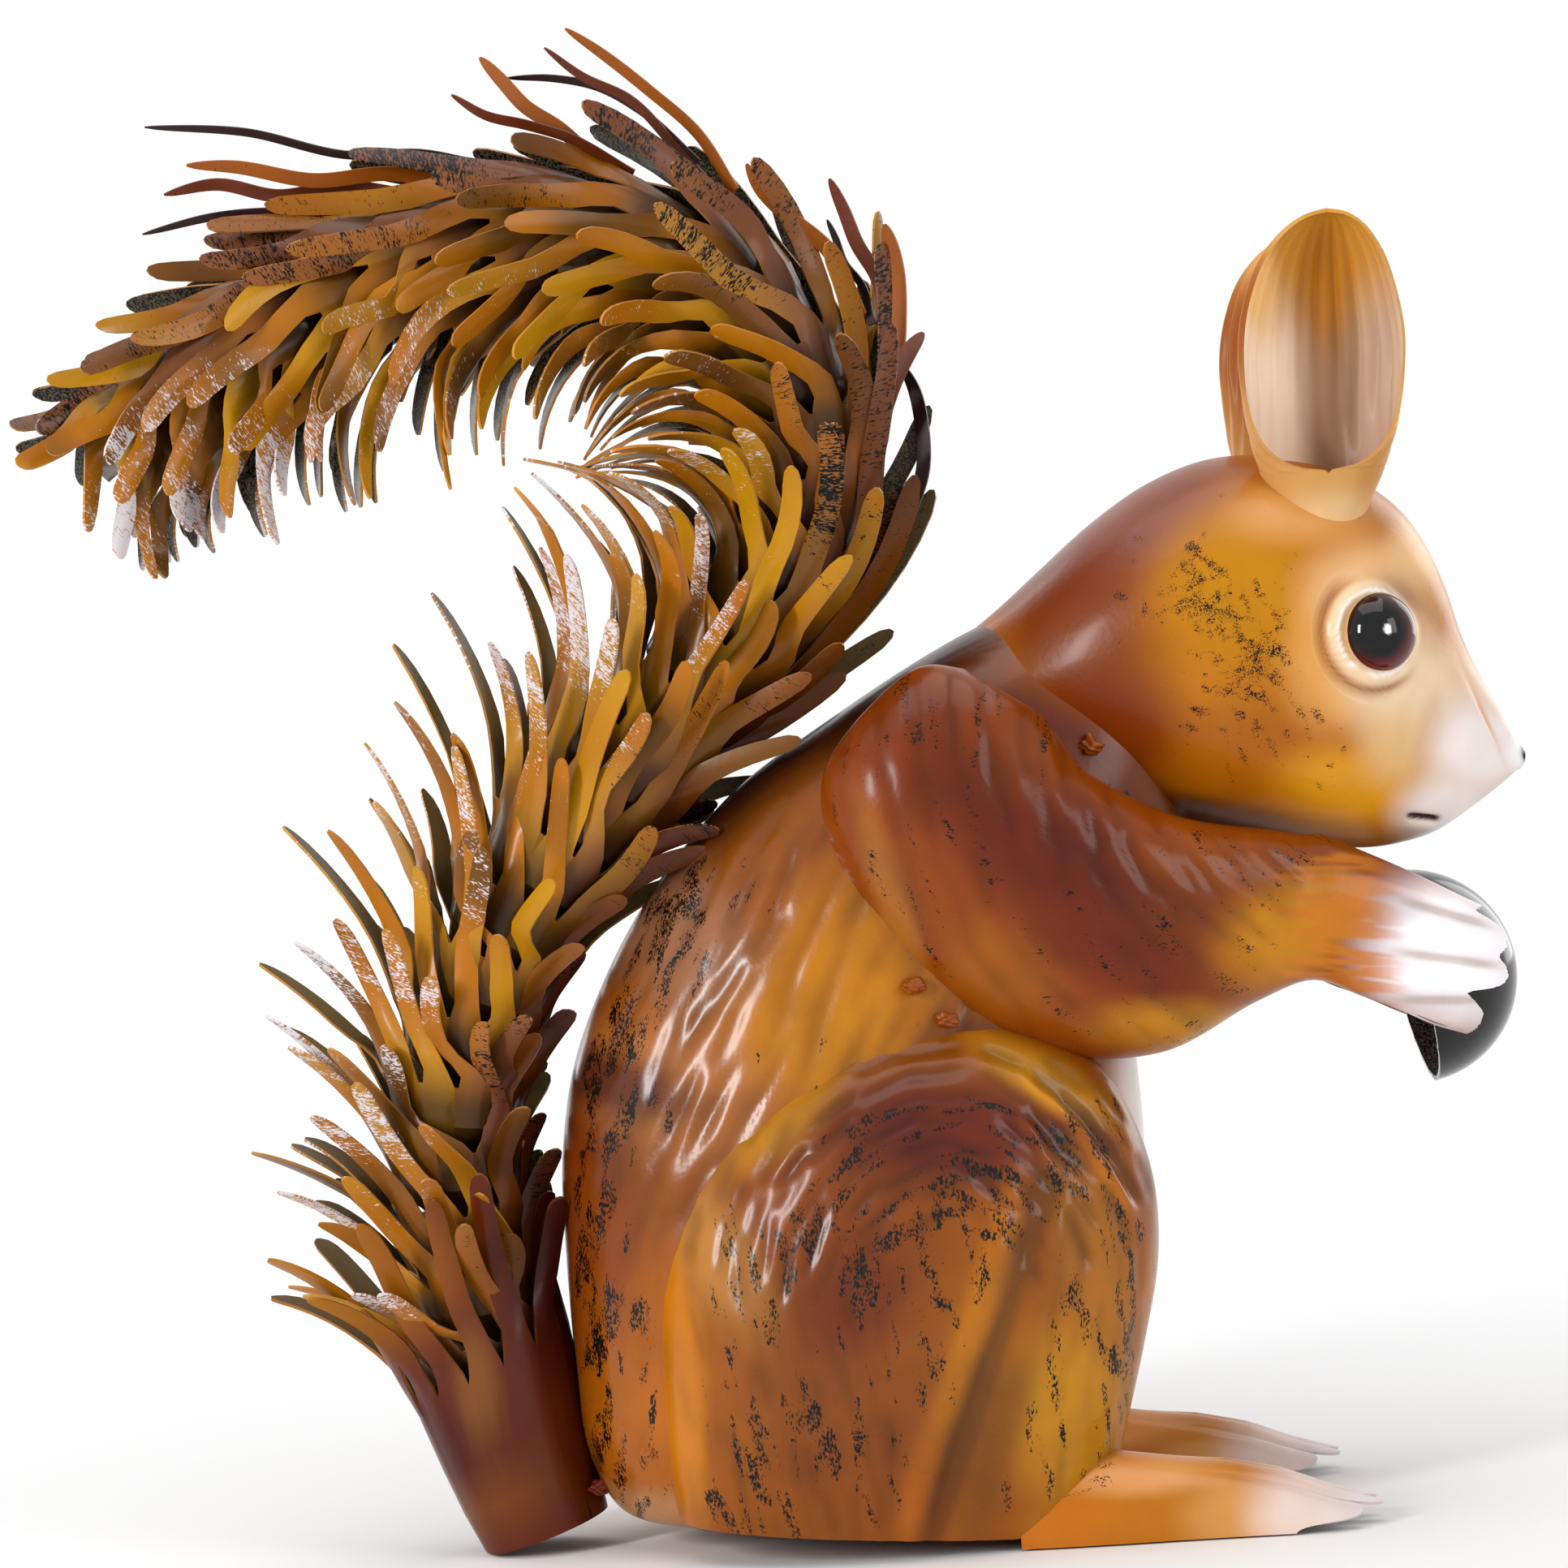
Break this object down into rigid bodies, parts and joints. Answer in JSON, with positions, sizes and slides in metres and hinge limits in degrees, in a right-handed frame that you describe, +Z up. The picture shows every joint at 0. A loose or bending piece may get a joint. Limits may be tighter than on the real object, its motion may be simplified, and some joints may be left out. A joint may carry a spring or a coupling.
{
  "type": "squirrel figurine",
  "caption": "Sitting squirrel ornament of pressed and welded painted sheet steel, holding a round nut, with an upright curling tail of slit metal fringe.",
  "frame": {"origin": "middle of the footprint on the ground, under the middle of the overall box", "axes": "+X towards the nose, +Y towards the animal's left side, +Z up"},
  "size_m": [0.2953, 0.1, 0.2982],
  "materials": {
    "torso_paint": "satin lacquer sprayed from dark red-brown to amber over pressed steel",
    "head_paint": "satin lacquer sprayed from brown through amber and cream to white",
    "haunch_paint": "satin lacquer, red-brown with amber and dry-brushed black strokes",
    "arm_paint": "satin lacquer, brown to orange to white at the hand, with dry-brushed strokes",
    "ear_paint": "matt lacquer, cream to ochre",
    "eye_gloss": "high gloss black with a dark red-brown edge and a small painted highlight",
    "foot_paint": "satin lacquer, amber fading to white toes",
    "nut_gloss": "high gloss black enamel",
    "sleeve_paint": "satin lacquer, dark red-brown",
    "rod_paint": "brushed-over grey and white paint on round bar",
    "fringe_paint": "satin lacquer in ochre, orange-brown and black with white dry-brushed tips",
    "weld_steel": "painted-over weld nuggets"
  },
  "bodies": {
    "root": {"arm_left": "arm_paint", "arm_right": "arm_paint", "arm_weld_beads_left": "weld_steel", "arm_weld_beads_right": "weld_steel", "ear_left": "ear_paint", "ear_right": "ear_paint", "eye_left": "eye_gloss", "eye_right": "eye_gloss", "foot_left": "foot_paint", "foot_right": "foot_paint", "haunch_left": "haunch_paint", "haunch_right": "haunch_paint", "head_shell_left": "head_paint", "head_shell_right": "head_paint", "nut_shell": "nut_gloss", "tail_base_plate": "rod_paint", "tail_base_sleeve": "sleeve_paint", "tail_fringe_01": "fringe_paint", "tail_fringe_02": "fringe_paint", "tail_fringe_03": "fringe_paint", "tail_fringe_04": "fringe_paint", "tail_fringe_05": "fringe_paint", "tail_fringe_06": "fringe_paint", "tail_fringe_07": "fringe_paint", "tail_fringe_08": "fringe_paint", "tail_fringe_09": "fringe_paint", "tail_fringe_10": "fringe_paint", "tail_fringe_11": "fringe_paint", "tail_fringe_12": "fringe_paint", "tail_fringe_13": "fringe_paint", "tail_fringe_14": "fringe_paint", "tail_fringe_15": "fringe_paint", "tail_fringe_16": "fringe_paint", "tail_fringe_17": "fringe_paint", "tail_fringe_18": "fringe_paint", "tail_fringe_19": "fringe_paint", "tail_fringe_20": "fringe_paint", "tail_fringe_21": "fringe_paint", "tail_fringe_22": "fringe_paint", "tail_fringe_23": "fringe_paint", "tail_fringe_24": "fringe_paint", "tail_fringe_25": "fringe_paint", "tail_fringe_26": "fringe_paint", "tail_fringe_27": "fringe_paint", "tail_fringe_28": "fringe_paint", "tail_fringe_29": "fringe_paint", "tail_fringe_30": "fringe_paint", "tail_rod": "rod_paint", "tail_weld_bead": "weld_steel", "torso_shell_left": "torso_paint", "torso_shell_right": "torso_paint"}
  },
  "joints": []
}
